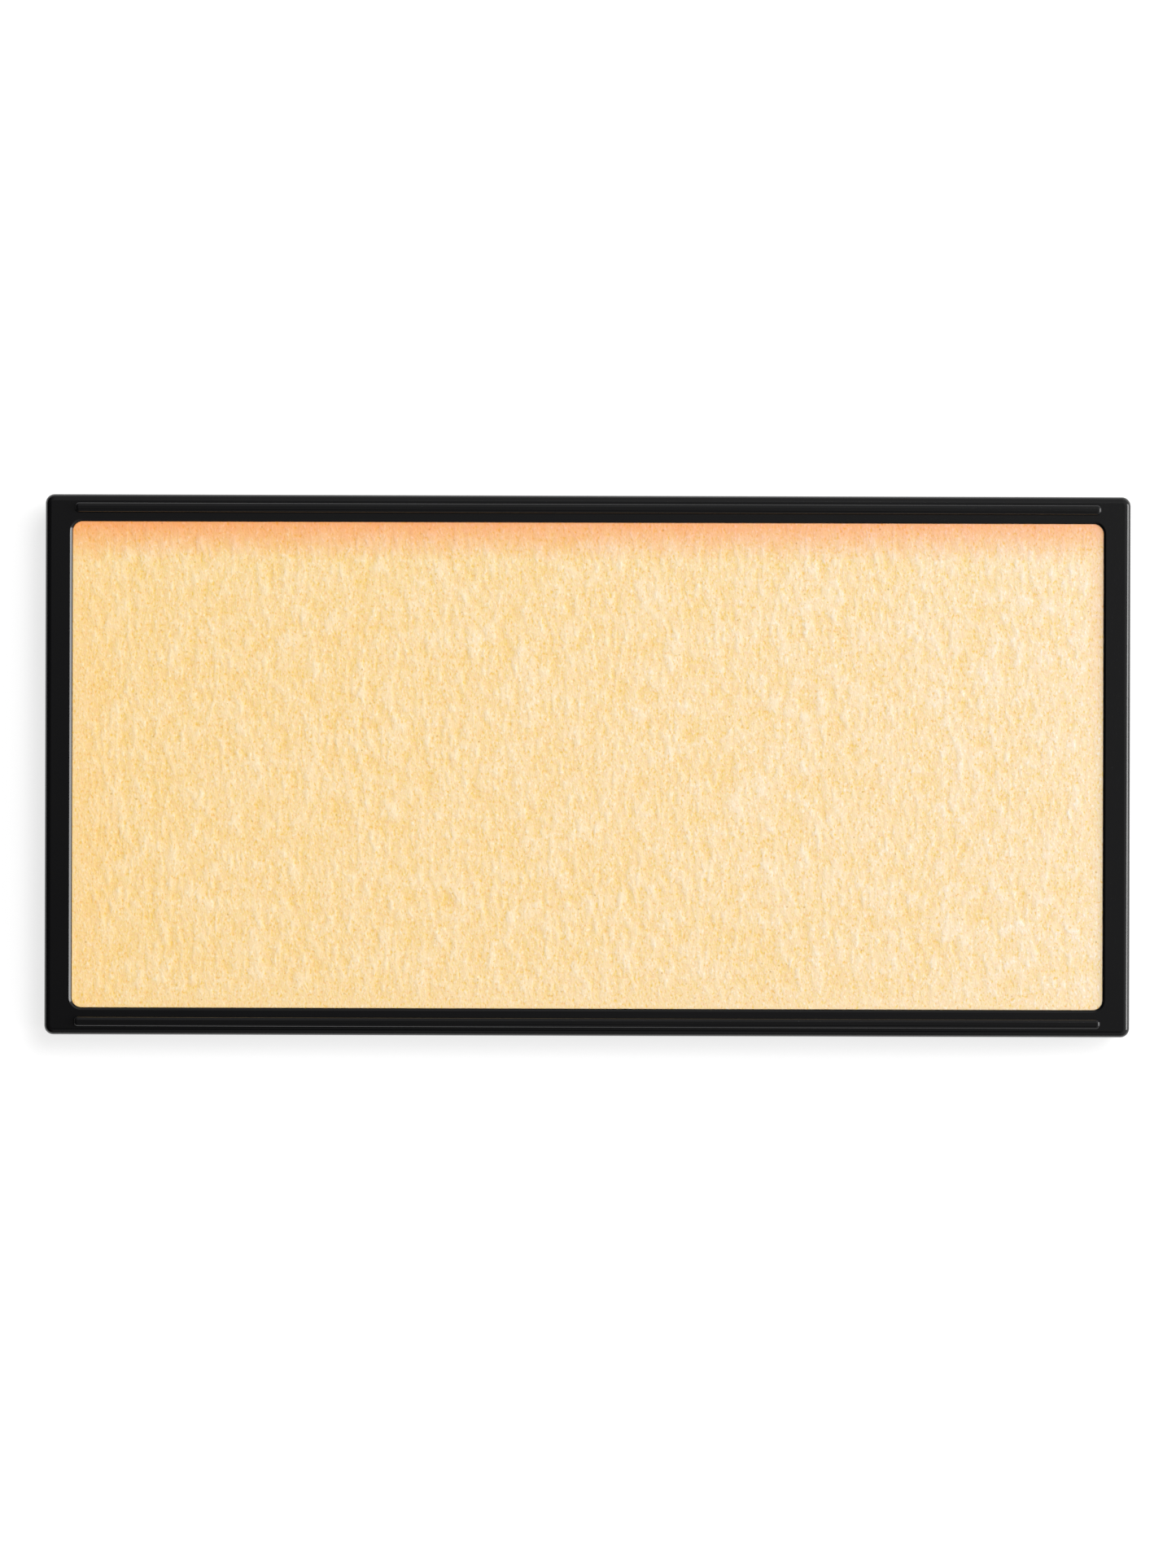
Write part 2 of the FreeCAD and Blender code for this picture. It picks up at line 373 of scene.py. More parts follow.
def cake_relief(settings, shape, edge_distance):
    """Relief of the cake's top: fibre marks on wider clumps, pressed flatter along the edge."""
    random = np.random.default_rng(settings.seed)
    width, length, lean = settings.fibre_width, settings.fibre_length, settings.fibre_lean
    fibres = grain_field(random, shape, settings.pitch, width, length, lean)
    clumps = grain_field(
        random, shape, settings.pitch, CLUMP_WIDENING * width, CLUMP_LENGTHENING * length, lean)
    relief = FIBRE_SHARE * fibres + CLUMP_SHARE * clumps
    # Crests are a little narrower and higher than the hollows between them
    relief = relief + CREST_PULL * (relief ** 2 - 1)
    margin = settings.calm_margin
    calm = EDGE_SHARE + (1 - EDGE_SHARE) * smooth_rise(edge_distance, EDGE_FADE_START * margin, margin)
    # It starts from nothing, so that the top meets the rolled edge in a level line
    start = smooth_rise(edge_distance, 0, EDGE_FLAT_END * margin)
    return np.clip(relief, -RELIEF_LIMIT, RELIEF_LIMIT) * calm * start


def end_wall(node):
    """Lowest and highest corner of the flat right-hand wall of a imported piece."""
    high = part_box(node)[1]
    points = [v.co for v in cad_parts[node].data.vertices if v.co.x > high.x - ON_FACE]
    return Vector(np.min(points, axis=0)), Vector(np.max(points, axis=0))


def cake_rounds():
    """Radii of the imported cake's upright corners, its top edge and its foot, from its end wall."""
    low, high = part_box("powder_cake")
    wall_low, wall_high = end_wall("powder_cake")
    return high.y - wall_high.y, high.z - wall_high.z, wall_low.z - low.z


def cake_outline(settings):
    """Plan of the cake's flat top: a grid whose corner squares are drawn into quarter discs."""
    low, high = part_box("powder_cake")
    half = (high - low) / 2
    corner_radius, top_round, _ = cake_rounds()
    reach = (half.x - top_round, half.y - top_round)
    corner = corner_radius - top_round
    lines = [np.linspace(-r, r, 2 * round(r / settings.pitch) + 1) for r in reach]
    grid = np.meshgrid(*lines)
    straight = [np.clip(g, corner - r, r - corner) for g, r in zip(grid, reach)]
    into = [(g - s) / corner for g, s in zip(grid, straight)]
    x = straight[0] + corner * into[0] * np.sqrt(1 - into[1] ** 2 / 2)
    y = straight[1] + corner * into[1] * np.sqrt(1 - into[0] ** 2 / 2)
    outward = np.stack([x - straight[0], y - straight[1]], axis=-1)
    to_arc = corner - np.linalg.norm(outward, axis=-1)
    to_side = np.minimum(reach[0] - np.abs(x), reach[1] - np.abs(y))
    in_corner = (np.abs(into[0]) > 0) & (np.abs(into[1]) > 0)
    edge_distance = np.where(in_corner, to_arc, to_side)
    return x, y, outward, np.clip(edge_distance, 0, None)


def cake_side_profile(top, floor):
    """Rings of the cake's side as outset and height: the rolled top edge, the wall and the foot."""
    _, top_round, foot_round = cake_rounds()
    angles = np.linspace(0, math.pi / 2, ROUND_STEPS + 1)
    rings = []
    for angle in angles[1:]:
        rings.append((top_round * math.sin(angle), top - top_round * (1 - math.cos(angle))))
    for angle in angles:
        inset = foot_round * (1 - math.cos(angle))
        rings.append((top_round - inset, floor + foot_round * (1 - math.sin(angle))))
    return rings


def make_cake_mesh(settings):
    """Closed mesh of the cake with its relief, which it also keeps as a point attribute."""
    low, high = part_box("powder_cake")
    x, y, outward, edge_distance = cake_outline(settings)
    relief = cake_relief(settings, x.shape, edge_distance)
    highest = RELIEF_LIMIT * settings.relief
    z = high.z + settings.relief * relief - highest
    rows, columns = x.shape
    number = np.arange(rows * columns).reshape(rows, columns)
    border = np.concatenate([number[0, :-1], number[:-1, -1], number[-1, :0:-1], number[:0:-1, 0]])
    points = [np.stack([x, y, z], axis=-1).reshape(-1, 3)]
    quads = [np.stack([number[:-1, :-1], number[:-1, 1:], number[1:, 1:], number[1:, :-1]], axis=-1)]
    directions = outward.reshape(-1, 2)[border]
    directions = directions / np.linalg.norm(directions, axis=1, keepdims=True)
    plan = points[0][border, :2]
    ring = border
    count = rows * columns
    for outset, height in cake_side_profile(high.z - highest, low.z):
        heights = np.full((len(border), 1), height)
        points.append(np.hstack([plan + directions * outset, heights]))
        lower = np.arange(count, count + len(border))
        quads.append(np.stack([ring, lower, np.roll(lower, -1), np.roll(ring, -1)], axis=-1))
        ring = lower
        count += len(border)
    centre = [(low.x + high.x) / 2, (low.y + high.y) / 2, low.z]
    points.append(np.array([centre]))
    fan = np.stack([ring, np.full(len(ring), count), np.roll(ring, -1)], axis=-1)
    faces = [face for group in quads for face in group.reshape(-1, 4).tolist()] + fan.tolist()
    mesh = bpy.data.meshes.new("powder_cake_pressed")
    mesh.from_pydata(np.concatenate(points).tolist(), [], faces)
    mesh.shade_smooth()
    attribute = mesh.attributes.new("relief", "FLOAT", "POINT")
    values = np.zeros(count + 1, np.float32)
    values[:rows * columns] = relief.reshape(-1)
    attribute.data.foreach_set("value", values)
    return mesh


# Finishes

def painted_shade_over(tree, settings, place, axes):
    """Share of the painted shade at each point: full at the back edge under the rim, gone a little before
    it.
    """
    low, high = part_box("powder_cake")
    clump_place = add_node(tree, "ShaderNodeMapping", {
        "Vector": place, "Rotation": (0, 0, settings.fibre_lean), "Scale": per_size(*CLUMP_SIZE)})
    clumps = add_node(tree, "ShaderNodeTexNoise", {
        "Vector": clump_place.outputs[0], "Scale": 1.0, "Detail": 2.0})
    reach = SHADE_WANDER * settings.back_shade_width
    wander = add_node(tree, "ShaderNodeMapRange", {
        "Value": clumps.outputs[0], "From Min": 0.2, "From Max": 0.8, "To Min": -reach, "To Max": reach})
    wandered = add_node(tree, "ShaderNodeMath", {
        0: axes.outputs["Y"], 1: wander.outputs[0]}, operation="ADD")
    back_share = add_node(tree, "ShaderNodeMapRange", {
        "Value": wandered.outputs[0], "From Min": high.y - settings.back_shade_width, "From Max": high.y})
    # The painted shade also runs faintly down the right edge, as far as the middle, under the right rim
    edge_nearness = add_node(tree, "ShaderNodeMapRange", {
        "Value": axes.outputs["X"], "From Min": high.x - EDGE_SHADE_WIDTH, "From Max": high.x})
    edge_reach = add_node(tree, "ShaderNodeMapRange", {
        "Value": axes.outputs["Y"], "From Min": (low.y + high.y) / 2, "From Max": high.y,
        "To Max": EDGE_SHADE})
    edge_share = add_node(tree, "ShaderNodeMath", {
        0: edge_nearness.outputs[0], 1: edge_reach.outputs[0]}, operation="MULTIPLY")
    either = add_node(tree, "ShaderNodeMath", {
        0: back_share.outputs[0], 1: edge_share.outputs[0]}, operation="MAXIMUM")
    # The painted shade is kept to the top face, so it thins out down the cake's sides
    full_depth, bare_depth = SHADE_DEPTHS
    on_top = add_node(tree, "ShaderNodeMapRange", {
        "Value": axes.outputs["Z"], "From Min": high.z - bare_depth, "From Max": high.z - full_depth})
    share = add_node(tree, "ShaderNodeMath", {
        0: either.outputs[0], 1: on_top.outputs[0]}, operation="MULTIPLY")
    return share.outputs[0]


def powder_colour(tree, settings, axes, shade_share):
    """Colour of the powder's crests: paler from left to right, with the painted shade of the back rim
    over it.
    """
    low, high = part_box("powder_cake")
    length = high.x - low.x
    across = add_node(tree, "ShaderNodeMapRange", {
        "Value": axes.outputs["X"], "From Min": low.x, "From Max": high.x})
    body = add_ramp(tree, across.outputs[0], (
        (LEFT_EDGE_BAND[0] / length, settings.left_edge),
        (LEFT_EDGE_BAND[1] / length, settings.left_colour),
        (1 - RIGHT_EDGE_BAND[1] / length, settings.right_colour),
        (1 - RIGHT_EDGE_BAND[0] / length, settings.right_edge)))
    # Peach painted shade, from its left end colour to its right end colour
    shade = add_node(tree, "ShaderNodeMix", {
        MIX_FACTOR: across.outputs[0], MIX_A: settings.left_back_shade, MIX_B: settings.right_back_shade},
        data_type="RGBA")
    coloured = add_node(tree, "ShaderNodeMix", {
        MIX_FACTOR: shade_share, MIX_A: body.outputs["Color"], MIX_B: shade.outputs[MIX_RESULT]},
        data_type="RGBA")
    return coloured.outputs[MIX_RESULT]


def grain_over(tree, settings, fibres, colour):
    """The colour with its grain: golden or pinker hollows between the pale crests, partly own tone,
    partly painted shade.
    """
    # The mesh's relief and the fine fibres together say how deep in a hollow a point is
    relief = add_node(tree, "ShaderNodeAttribute", attribute_name="relief")
    from_relief = add_node(tree, "ShaderNodeMath", {
        0: relief.outputs["Fac"], 1: RELIEF_DEPTH}, operation="MULTIPLY")
    from_fibres = add_ramp(tree, fibres.outputs[0], [
        (value, (depth, depth, depth, 1.0)) for value, depth in GRAIN_DEPTHS])
    hollow = add_node(tree, "ShaderNodeMath", {
        0: from_relief.outputs[0], 1: from_fibres.outputs[0]}, operation="ADD", use_clamp=True)
    # Pigment is unevenly milled, so some hollows are pinker than others
    pigment = add_node(tree, "ShaderNodeSeparateColor", {0: fibres.outputs["Color"]})
    pink_share = add_node(tree, "ShaderNodeMapRange", {
        "Value": pigment.outputs["Blue"], "From Min": 0.4, "From Max": 0.65})
    tint = add_node(tree, "ShaderNodeMix", {
        MIX_FACTOR: pink_share.outputs[0], MIX_A: settings.hollow_tint, MIX_B: settings.pink_tint},
        data_type="RGBA")
    # Partly painted shade: the colour darkens towards the tint the deeper a point lies in a hollow
    grained = add_node(tree, "ShaderNodeMix", {
        MIX_FACTOR: hollow.outputs[0], MIX_A: colour, MIX_B: tint.outputs[MIX_RESULT]},
        data_type="RGBA", blend_type="MULTIPLY")
    return grained.outputs[MIX_RESULT]


def specks_over(tree, settings, place, shade_share, colour):
    """The colour with painted shade in pits where a grain has dropped out, and with pale flakes of mica,
    whose paleness is partly a painted glint.
    """
    cells = add_node(tree, "ShaderNodeTexVoronoi", {"Vector": place, "Scale": 1 / CELL_SIDE})
    chance = add_node(tree, "ShaderNodeSeparateColor", {0: cells.outputs["Color"]})
    pit_reach = add_node(tree, "ShaderNodeMapRange", {
        "Value": chance.outputs["Red"], "From Min": PIT_CHANCE, "From Max": 1.0, "To Max": PIT_REACH})
    pit_depth = add_node(tree, "ShaderNodeMapRange", {
        "Value": cells.outputs["Distance"], "From Min": pit_reach.outputs[0], "From Max": 0.0})
    # Painted shade: each pit darkens the colour towards the pit tint
    pitted = add_node(tree, "ShaderNodeMix", {
        MIX_FACTOR: pit_depth.outputs[0], MIX_A: colour, MIX_B: settings.painted_pit_shade},
        data_type="RGBA", blend_type="MULTIPLY")
    # Flakes thin out under the painted shade, as their paleness is partly a painted glint
    flake_reach = add_node(tree, "ShaderNodeMapRange", {
        "Value": chance.outputs["Red"], "From Min": FLAKE_CHANCE, "From Max": 0.0, "To Max": FLAKE_REACH})
    bare_cover, shaded_cover = FLAKE_COVER
    flake_cover = add_node(tree, "ShaderNodeMapRange", {
        "Value": shade_share, "To Min": bare_cover, "To Max": shaded_cover})
    flake_share = add_node(tree, "ShaderNodeMapRange", {
        "Value": cells.outputs["Distance"], "From Min": flake_reach.outputs[0], "From Max": 0.0,
        "To Max": flake_cover.outputs[0]})
    flaked = add_node(tree, "ShaderNodeMix", {
        MIX_FACTOR: flake_share.outputs[0], MIX_A: pitted.outputs[MIX_RESULT],
        MIX_B: settings.flake_and_glint_colour}, data_type="RGBA")
    return flaked.outputs[MIX_RESULT]


def pressed_powder(settings):
    """Talc and mica powder pressed under cloth."""
    # Matt and warm: cream on the crests, golden in the hollows between them, partly own tone and partly
    # painted shade, with a peach painted shade that fades from the back edge, where the back rim shades
    # it
    material, tree, shader, place = start_material("powder_pressed_under_cloth")
    axes = add_node(tree, "ShaderNodeSeparateXYZ", {0: place})
    # Grains a little longer than wide, finer than the mesh's own relief
    stretched = add_node(tree, "ShaderNodeMapping", {
        "Vector": place, "Rotation": (0, 0, settings.fibre_lean), "Scale": per_size(*GRAIN_SIZE)})
    fibres = add_node(tree, "ShaderNodeTexNoise", {
        "Vector": stretched.outputs[0], "Scale": 1.0, "Detail": 3.0, "Distortion": 0.3})
    shade_share = painted_shade_over(tree, settings, place, axes)
    colour = powder_colour(tree, settings, axes, shade_share)
    colour = grain_over(tree, settings, fibres, colour)
    colour = specks_over(tree, settings, place, shade_share, colour)
    tree.links.new(colour, shader.inputs["Base Color"])
    add_bump(tree, shader, fibres.outputs[0], 1.0, 0.017 * MM)
    set_shader(shader, Roughness=0.8, IOR=1.5, Specular_IOR_Level=0.25)
    return material


def polished_black_abs(settings):
    """ABS moulded in a polished tool: the frame."""
    # A deep black whose reflections are a little soft, and waver over the orange peel of the tool
    material, tree, shader, place = start_material("abs_moulded_polished_black")
    peel = add_node(tree, "ShaderNodeTexNoise", {
        "Vector": place, "Scale": 1 / (1.4 * MM), "Detail": 1.0})
    add_bump(tree, shader, peel.outputs[0], 1.0, 0.0012 * MM)
    handling = add_node(tree, "ShaderNodeTexNoise", {
        "Vector": place, "Scale": 1 / (5.0 * MM), "Detail": 3.0})
    vary_roughness(tree, shader, handling.outputs[0], (0.3, 0.7), (0.13, 0.18))
    set_shader(shader, Base_Color=settings.frame_colour, IOR=1.54)
    return material


def spark_eroded_black_abs(settings):
    """ABS moulded in a spark-eroded tool: the base plate."""
    # A grey-black satin with an even, fine pebbled grain
    material, tree, shader, place = start_material("abs_moulded_spark_eroded_black")
    pebble = add_node(tree, "ShaderNodeTexVoronoi", {
        "Vector": place, "Scale": 1 / (0.14 * MM)}, feature="SMOOTH_F1")
    add_bump(tree, shader, pebble.outputs["Distance"], 0.7, 0.02 * MM)
    rubbed = add_node(tree, "ShaderNodeTexNoise", {
        "Vector": place, "Scale": 1 / (6.0 * MM), "Detail": 4.0})
    vary_roughness(tree, shader, rubbed.outputs[0], (0.3, 0.7), (0.4, 0.55))
    set_shader(shader, Base_Color=settings.base_colour, IOR=1.54)
    return material


def drawn_aluminium(settings):
    """Aluminium sheet deep drawn into the pan."""
    # Bright and a little streaked: the die drags lines up the wall
    material, tree, shader, place = start_material("aluminium_deep_drawn")
    stretched = add_node(tree, "ShaderNodeMapping", {"Vector": place, "Scale": per_size(0.12, 0.12, 2.5)})
    lines = add_node(tree, "ShaderNodeTexNoise", {
        "Vector": stretched.outputs[0], "Scale": 1.0, "Detail": 2.0})
    add_bump(tree, shader, lines.outputs[0], 0.6, 0.01 * MM)
    vary_roughness(tree, shader, lines.outputs[0], (0.25, 0.75), (0.22, 0.42))
    set_shader(shader, Base_Color=settings.pan_colour, Metallic=1.0)
    return material


def zinc_plated_steel(settings):
    """Blanked steel, tumbled and zinc plated: the keeper discs."""
    # Grey with a cold cast, dulled by small dents that lie every way
    material, tree, shader, place = start_material("steel_tumbled_zinc_plated")
    dents = add_node(tree, "ShaderNodeTexNoise", {
        "Vector": place, "Scale": 1 / (0.35 * MM), "Detail": 3.0})
    add_bump(tree, shader, dents.outputs[0], 0.5, 0.006 * MM)
    spangle = add_node(tree, "ShaderNodeTexVoronoi", {"Vector": place, "Scale": 1 / (0.8 * MM)})
    vary_roughness(tree, shader, spangle.outputs["Color"], (0.0, 1.0), (0.28, 0.5))
    set_shader(shader, Base_Color=settings.keeper_colour, Metallic=1.0)
    return material


def tissue_tape(settings):
    """Double-sided tape on a tissue carrier."""
    # Milky and faintly glossy, with the tissue's long fibres showing through
    material, tree, shader, place = start_material("tape_tissue_carrier")
    stretched = add_node(tree, "ShaderNodeMapping", {
        "Vector": place, "Rotation": (0, 0, math.radians(20)), "Scale": per_size(0.16, 0.7, 1.0)})
    fibres = add_node(tree, "ShaderNodeTexNoise", {
        "Vector": stretched.outputs[0], "Scale": 1.0, "Detail": 3.0, "Distortion": 1.5})
    pale = add_node(tree, "ShaderNodeMix", {
        MIX_FACTOR: fibres.outputs[0], MIX_A: settings.tape_gap_colour, MIX_B: settings.tape_colour},
        data_type="RGBA")
    tree.links.new(pale.outputs[MIX_RESULT], shader.inputs["Base Color"])
    add_bump(tree, shader, fibres.outputs[0], 0.5, 0.02 * MM)
    set_shader(shader, Roughness=0.38, IOR=1.48)
    return material


def acrylic_adhesive(settings):
    """Acrylic adhesive cast into the sheet that the pads are cut from."""
    # Yellowish and wet-looking, with small trapped bubbles
    material, tree, shader, place = start_material("acrylic_adhesive_cast")
    bubbles = add_node(tree, "ShaderNodeTexVoronoi", {"Vector": place, "Scale": 1 / (0.5 * MM)})
    rim = add_node(tree, "ShaderNodeMapRange", {
        "Value": bubbles.outputs["Distance"], "From Min": 0.15, "From Max": 0.3})
    colour = add_node(tree, "ShaderNodeMix", {
        MIX_FACTOR: rim.outputs[0], MIX_A: settings.bubble_colour, MIX_B: settings.adhesive_colour},
        data_type="RGBA")
    tree.links.new(colour.outputs[MIX_RESULT], shader.inputs["Base Color"])
    add_bump(tree, shader, rim.outputs[0], 0.4, 0.02 * MM)
    set_shader(shader, Roughness=0.25, IOR=1.47)
    return material


def uncoated_paper(settings):
    """Uncoated label paper."""
    # Matt white, softly cloudy, with a felt of short fibres
    material, tree, shader, place = start_material("paper_uncoated_white")
    felt = add_node(tree, "ShaderNodeTexNoise", {
        "Vector": place, "Scale": 1 / (0.2 * MM), "Detail": 4.0, "Distortion": 0.8})
    cloud = add_node(tree, "ShaderNodeTexNoise", {
        "Vector": place, "Scale": 1 / (3.0 * MM), "Detail": 3.0})
    colour = add_node(tree, "ShaderNodeMix", {
        MIX_FACTOR: cloud.outputs[0], MIX_A: settings.label_cloud_colour, MIX_B: settings.label_colour},
        data_type="RGBA")
    tree.links.new(colour.outputs[MIX_RESULT], shader.inputs["Base Color"])
    add_bump(tree, shader, felt.outputs[0], 0.5, 0.02 * MM)
    set_shader(shader, Roughness=0.85, IOR=1.5)
    return material


def dress(material, *names):
    """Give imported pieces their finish."""
    for name in names:
        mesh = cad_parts[name].data
        mesh.materials.clear()
        mesh.materials.append(material)


# Stage

def pale_floor(settings):
    """Plain pale paper sweep that photographs white and keeps the cartridge's shadow."""
    material, tree, shader, _ = start_material("paper_sweep_pale")
    tree.nodes.remove(shader)
    path = add_node(tree, "ShaderNodeLightPath")
    seen = add_node(tree, "ShaderNodeMath", {
        0: path.outputs["Is Camera Ray"], 1: path.outputs["Is Glossy Ray"]}, operation="MAXIMUM")
    seen = add_node(tree, "ShaderNodeMath", {
        0: seen.outputs[0], 1: path.outputs["Is Transmission Ray"]}, operation="MAXIMUM")
    lit = add_node(tree, "ShaderNodeBsdfDiffuse", {"Color": settings.floor_colour})
    shaded = add_node(tree, "ShaderNodeBsdfDiffuse", {"Color": FLOOR_SEEN})
    glow = add_node(tree, "ShaderNodeEmission", {"Strength": FLOOR_GLOW})
    white = add_node(tree, "ShaderNodeAddShader", {0: shaded.outputs[0], 1: glow.outputs[0]})
    surface = add_node(tree, "ShaderNodeMixShader", {
        0: seen.outputs[0], 1: lit.outputs[0], 2: white.outputs[0]})
    tree.links.new(surface.outputs[0], tree.nodes["Material Output"].inputs["Surface"])
    return material


def add_object(name, data, location=(0, 0, 0)):
    """New object in the scene."""
    item = bpy.data.objects.new(name, data)
    item.location = location
    bpy.context.scene.collection.objects.link(item)
    return item


def add_softbox(name, direction, distance, size, power, target):
    """Area lamp at a distance along a direction, aimed at the target and unseen by the camera."""
    lamp = bpy.data.lights.new(name, "AREA")
    lamp.shape = "RECTANGLE"
    lamp.size, lamp.size_y = size
    lamp.energy = power
    towards = Vector(direction).normalized()
    item = add_object(name, lamp, target + towards * distance)
    item.rotation_euler = towards.to_track_quat("Z", "Y").to_euler()
    item.visible_camera = False
    return item


def add_floor(settings, level):
    """Round floor under the cartridge."""
    angles = np.linspace(0, 2 * math.pi, FLOOR_SIDES, endpoint=False)
    points = [(FLOOR_RADIUS * math.cos(a), FLOOR_RADIUS * math.sin(a), level) for a in angles]
    mesh = bpy.data.meshes.new("floor")
    mesh.from_pydata(points, [], [list(range(FLOOR_SIDES))])
    mesh.materials.append(pale_floor(settings))
    add_object("floor", mesh)


def add_world():
    """Studio walls, paler to the right and the back, under a dark card round the camera."""
    world = bpy.data.worlds.new("studio")
    world.use_nodes = True
    tree = world.node_tree
    direction = add_node(tree, "ShaderNodeTexCoord").outputs["Generated"]
    axes = add_node(tree, "ShaderNodeSeparateXYZ", {0: direction})
    levels = []
    for level, rise in ((WALL_LEVEL, WALL_RISE), (CARD_LEVEL, CARD_RISE)):
        slope = add_node(tree, "ShaderNodeVectorMath", {
            0: direction, 1: rise}, operation="DOT_PRODUCT")
        levels.append(add_node(tree, "ShaderNodeMath", {
            0: slope.outputs["Value"], 1: level}, operation="ADD").outputs[0])
    walls, card = levels
    overhead = add_node(tree, "ShaderNodeMapRange", {
        "Value": axes.outputs["Z"], "From Min": CARD_START, "From Max": CARD_FULL,
        "To Min": walls, "To Max": card}, interpolation_type="SMOOTHSTEP")
    lit = add_node(tree, "ShaderNodeMath", {0: overhead.outputs[0], 1: 0.0}, operation="MAXIMUM")
    tree.links.new(lit.outputs[0], tree.nodes["Background"].inputs["Strength"])
    tree.nodes["Background"].inputs["Color"].default_value = (1.0, 1.0, 1.0, 1.0)
    bpy.context.scene.world = world


def add_camera(settings, low, high):
    """Camera straight above, framed as the photograph is."""
    camera = bpy.data.cameras.new("camera")
    camera.lens = settings.lens
    camera.clip_start = 0.01
    camera.clip_end = 20.0
    pixel = (high.x - low.x) / PHOTO_CARTRIDGE_LENGTH
    distance = settings.lens * PHOTO_HEIGHT * pixel / camera.sensor_width
    middle = (low + high) / 2
    # The outline in the photograph is the top of the frame's upright wall
    outline_level = end_wall("cartridge_frame")[1].z
    place = Vector((
        middle.x + (PHOTO_WIDTH / 2 - PHOTO_CARTRIDGE_CENTRE[0]) * pixel,
        middle.y - (PHOTO_HEIGHT / 2 - PHOTO_CARTRIDGE_CENTRE[1]) * pixel,
        outline_level + distance,
    ))
    item = add_object("camera", camera, place)
    item.rotation_euler = (0, 0, settings.roll)
    bpy.context.scene.camera = item


# Operators

class CARTRIDGE_OT_powder_cake(bpy.types.Operator):
    """Model the pressed powder and its surface"""

    bl_idname = "cartridge.powder_cake"
    bl_label = "Powder cake"

    def execute(self, context):
        settings = context.scene.cartridge.powder
        cake = add_object("powder_cake_pressed", make_cake_mesh(settings))
        cake.data.materials.append(pressed_powder(settings))
        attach(cake, "pan")
        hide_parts("powder_cake")
        return {"FINISHED"}


class CARTRIDGE_OT_frame(bpy.types.Operator):
    """Polish the moulded frame"""

    bl_idname = "cartridge.frame"
    bl_label = "Frame"

    def execute(self, context):
        dress(polished_black_abs(context.scene.cartridge.finish), "cartridge_frame")
        return {"FINISHED"}


class CARTRIDGE_OT_base(bpy.types.Operator):
    """Grain the moulded base plate"""

    bl_idname = "cartridge.base"
    bl_label = "Base plate"

    def execute(self, context):
        dress(spark_eroded_black_abs(context.scene.cartridge.finish), "base_plate")
        return {"FINISHED"}


class CARTRIDGE_OT_pan(bpy.types.Operator):
    """Streak the drawn pan"""

    bl_idname = "cartridge.pan"
    bl_label = "Pan"

    def execute(self, context):
        dress(drawn_aluminium(context.scene.cartridge.finish), "powder_pan")
        return {"FINISHED"}


class CARTRIDGE_OT_tapes(bpy.types.Operator):
    """Show the fibres of both tape strips"""

    bl_idname = "cartridge.tapes"
    bl_label = "Tape strips"

    def execute(self, context):
        dress(tissue_tape(context.scene.cartridge.finish), "pan_tape_left", "pan_tape_right")
        return {"FINISHED"}


class CARTRIDGE_OT_keepers(bpy.types.Operator):
    """Plate both keeper discs"""

    bl_idname = "cartridge.keepers"
    bl_label = "Keeper discs"

    def execute(self, context):
        finish = context.scene.cartridge.finish
        dress(zinc_plated_steel(finish), "keeper_disc_left", "keeper_disc_right")
        return {"FINISHED"}


class CARTRIDGE_OT_adhesive(bpy.types.Operator):
    """Cloud the adhesive pads under the keeper discs"""

    bl_idname = "cartridge.adhesive"
    bl_label = "Adhesive pads"

    def execute(self, context):
        finish = context.scene.cartridge.finish
        dress(acrylic_adhesive(finish), "keeper_adhesive_left", "keeper_adhesive_right")
        return {"FINISHED"}


class CARTRIDGE_OT_label(bpy.types.Operator):
    """Felt the paper label"""

    bl_idname = "cartridge.label"
    bl_label = "Back label"

    def execute(self, context):
        dress(uncoated_paper(context.scene.cartridge.finish), "back_label")
        return {"FINISHED"}


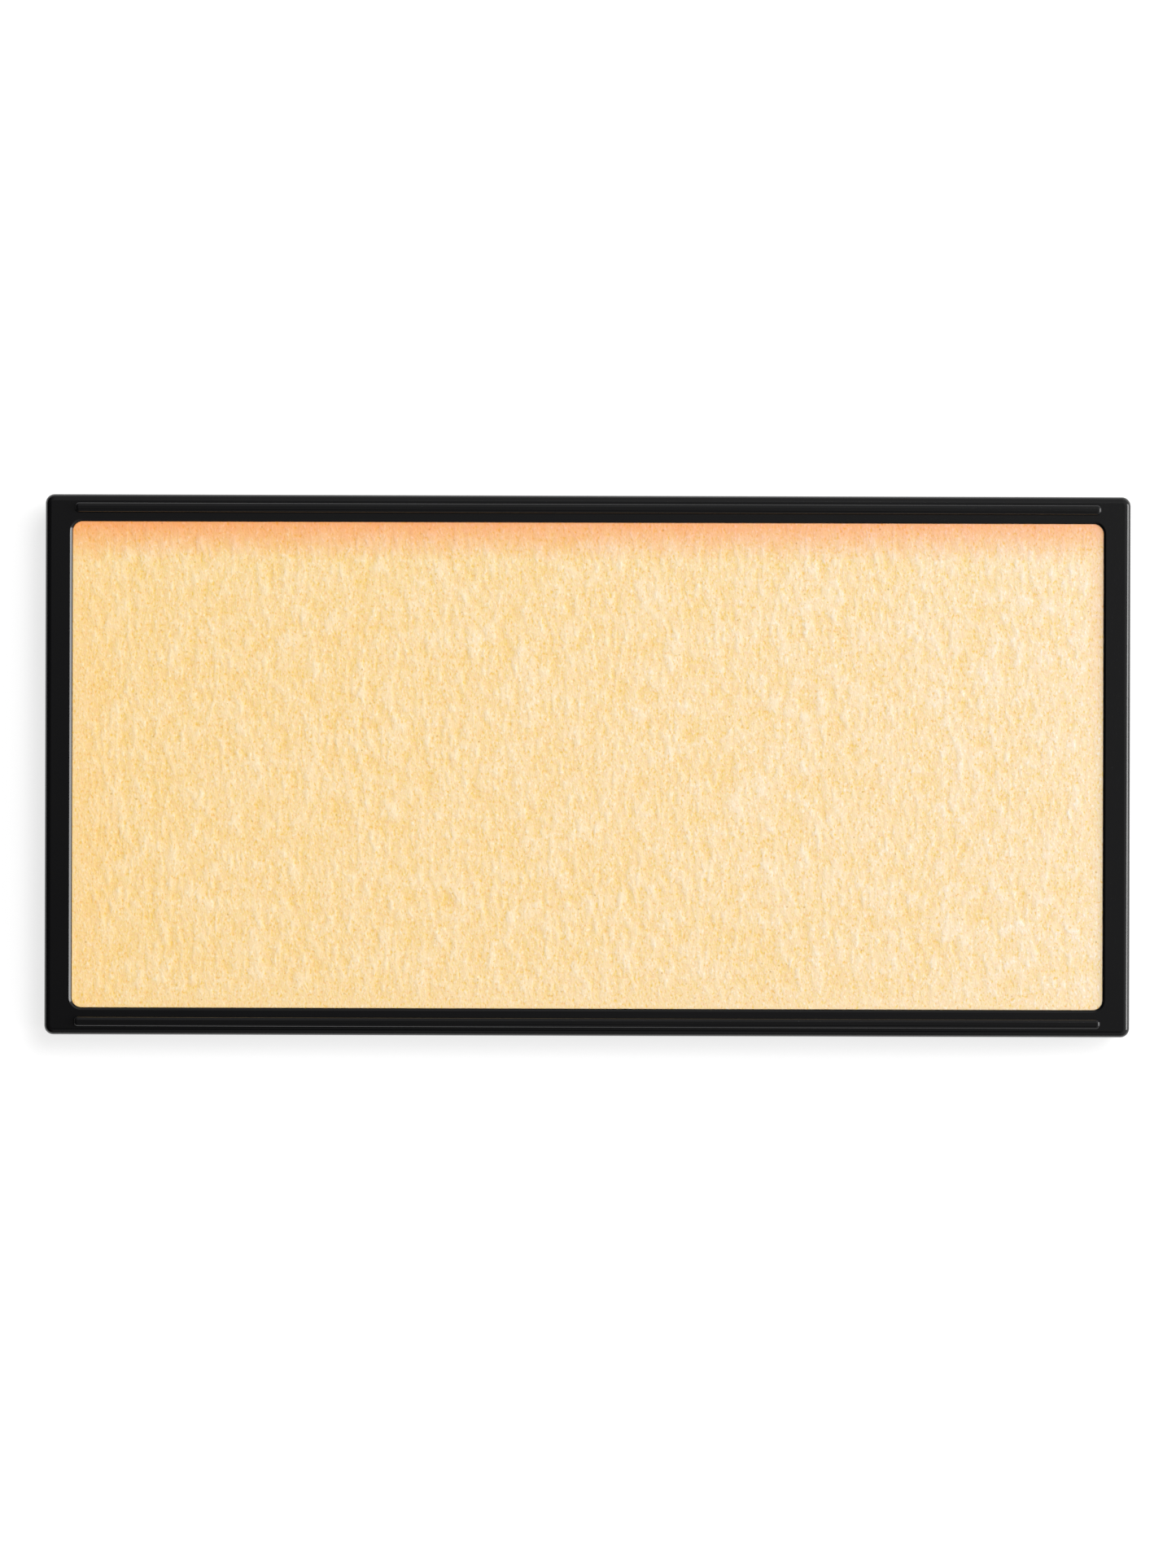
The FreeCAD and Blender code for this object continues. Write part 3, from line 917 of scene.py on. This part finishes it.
class CARTRIDGE_OT_stage(bpy.types.Operator):
    """Set the floor, the lamps and the camera"""

    bl_idname = "cartridge.stage"
    bl_label = "Stage"

    def execute(self, context):
        settings = context.scene.cartridge.stage
        low, high = cad_box
        middle = (low + high) / 2
        add_floor(settings, low.z - FLOOR_GAP)
        add_world()
        key = add_softbox("key_lamp", KEY_DIRECTION, KEY_DISTANCE, KEY_SIZE, settings.key_power, middle)
        # Polarised, as over glossy goods: it lights the pieces and leaves no glint on their edges
        key.visible_glossy = False
        add_softbox(
            "strip_lamp", STRIP_DIRECTION, STRIP_DISTANCE, STRIP_SIZE, settings.strip_power, middle)
        add_camera(settings, low, high)
        context.scene.view_settings.view_transform = "Standard"
        return {"FINISHED"}


class CARTRIDGE_PT_panel(bpy.types.Panel):
    """Settings and steps of the powder cartridge"""

    bl_idname = "CARTRIDGE_PT_panel"
    bl_label = "Powder cartridge"
    bl_space_type = "VIEW_3D"
    bl_region_type = "UI"
    bl_category = "Cartridge"

    def draw(self, context):
        settings = context.scene.cartridge
        for group in (settings.powder, settings.finish, settings.stage):
            box = self.layout.box()
            for name in group.__annotations__:
                box.prop(group, name)
        for step in STEPS:
            self.layout.operator(step.bl_idname)


SETTINGS = (PowderSettings, FinishSettings, StageSettings, CartridgeSettings)
STEPS = (
    CARTRIDGE_OT_powder_cake,
    CARTRIDGE_OT_frame,
    CARTRIDGE_OT_base,
    CARTRIDGE_OT_pan,
    CARTRIDGE_OT_tapes,
    CARTRIDGE_OT_keepers,
    CARTRIDGE_OT_adhesive,
    CARTRIDGE_OT_label,
    CARTRIDGE_OT_stage,
)


def register():
    """Add the settings, the operators and the panel to Blender."""
    for item in (*SETTINGS, *STEPS, CARTRIDGE_PT_panel):
        bpy.utils.register_class(item)
    bpy.types.Scene.cartridge = PointerProperty(type=CartridgeSettings)


def unregister():
    """Take them out again."""
    del bpy.types.Scene.cartridge
    for item in reversed((*SETTINGS, *STEPS, CARTRIDGE_PT_panel)):
        bpy.utils.unregister_class(item)


def main():
    """Run every step in order."""
    register()
    bpy.ops.cartridge.powder_cake()
    bpy.ops.cartridge.frame()
    bpy.ops.cartridge.base()
    bpy.ops.cartridge.pan()
    bpy.ops.cartridge.tapes()
    bpy.ops.cartridge.keepers()
    bpy.ops.cartridge.adhesive()
    bpy.ops.cartridge.label()
    bpy.ops.cartridge.stage()


if __name__ == "__main__":
    main()
